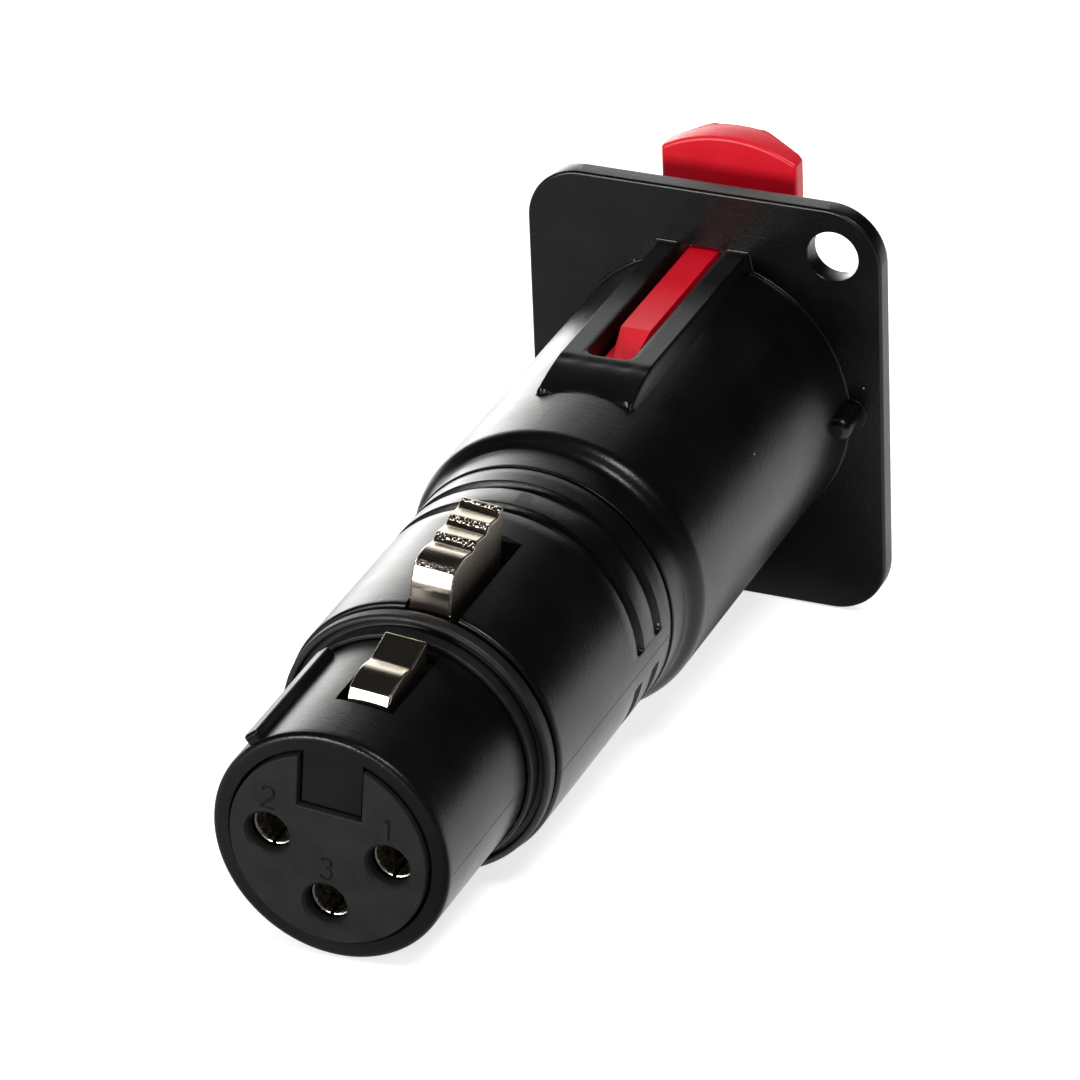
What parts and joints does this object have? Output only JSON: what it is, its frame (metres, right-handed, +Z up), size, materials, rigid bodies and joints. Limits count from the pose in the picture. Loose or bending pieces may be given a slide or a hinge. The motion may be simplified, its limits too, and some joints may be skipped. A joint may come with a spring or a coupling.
{
  "type": "xlr panel socket adapter",
  "caption": "Panel adapter with a flange: an XLR socket with a latch on one side and a locking jack socket with a red release tab on the other.",
  "frame": {"origin": "centre of the flange's back face, on the connector axis", "axes": "+Y runs back along the connector to the XLR nose, +Z is up towards the latch and the release tab, +X is right as seen from the jack side"},
  "size_m": [0.026, 0.0716, 0.0326],
  "materials": {
    "paint": "satin black paint on a zinc casting",
    "dark_plastic": "matt moulded plastic",
    "red_plastic": "satin red plastic",
    "rubber": "matt black rubber",
    "nickel": "warm nickel plate",
    "brass": "plated brass",
    "steel": "spring steel",
    "board": "coated circuit board"
  },
  "bodies": {
    "housing": {"jack_housing": "paint", "jack_insert": "dark_plastic", "sleeve_bushing": "nickel", "tip_spring": "brass", "ring_spring": "brass", "sleeve_spring": "brass", "insert_cap": "dark_plastic", "lever_pin": "steel", "lever_spring": "steel", "xlr_shell": "paint", "nose_gasket": "rubber", "contact_carrier": "dark_plastic", "contact_1": "brass", "contact_2": "brass", "contact_3": "brass", "shell_contact": "brass", "latch_pin": "steel", "latch_spring": "steel", "link_board": "board", "spacer_ring": "dark_plastic"},
    "release": {"release_lever": "red_plastic", "plug_catch": "steel"},
    "latch": {"latch_lever": "nickel"}
  },
  "joints": [
    {"name": "release_tab", "type": "hinge", "parent": "housing", "child": "release", "pos_m": [0, 0.0085, 0.00945], "axis": [1, 0, 0], "range_deg": [0, 4.5], "stiffness_Nm_per_rad": 0.15, "springref_deg": -8.59, "deforming": ["lever_spring"]},
    {"name": "latch_button", "type": "hinge", "parent": "housing", "child": "latch", "pos_m": [-0.00058, 0.038, 0.00627], "axis": [-0.9957, 0, -0.0924], "range_deg": [0, 5.5], "stiffness_Nm_per_rad": 0.2, "springref_deg": -6.88, "deforming": ["latch_spring"]}
  ]
}
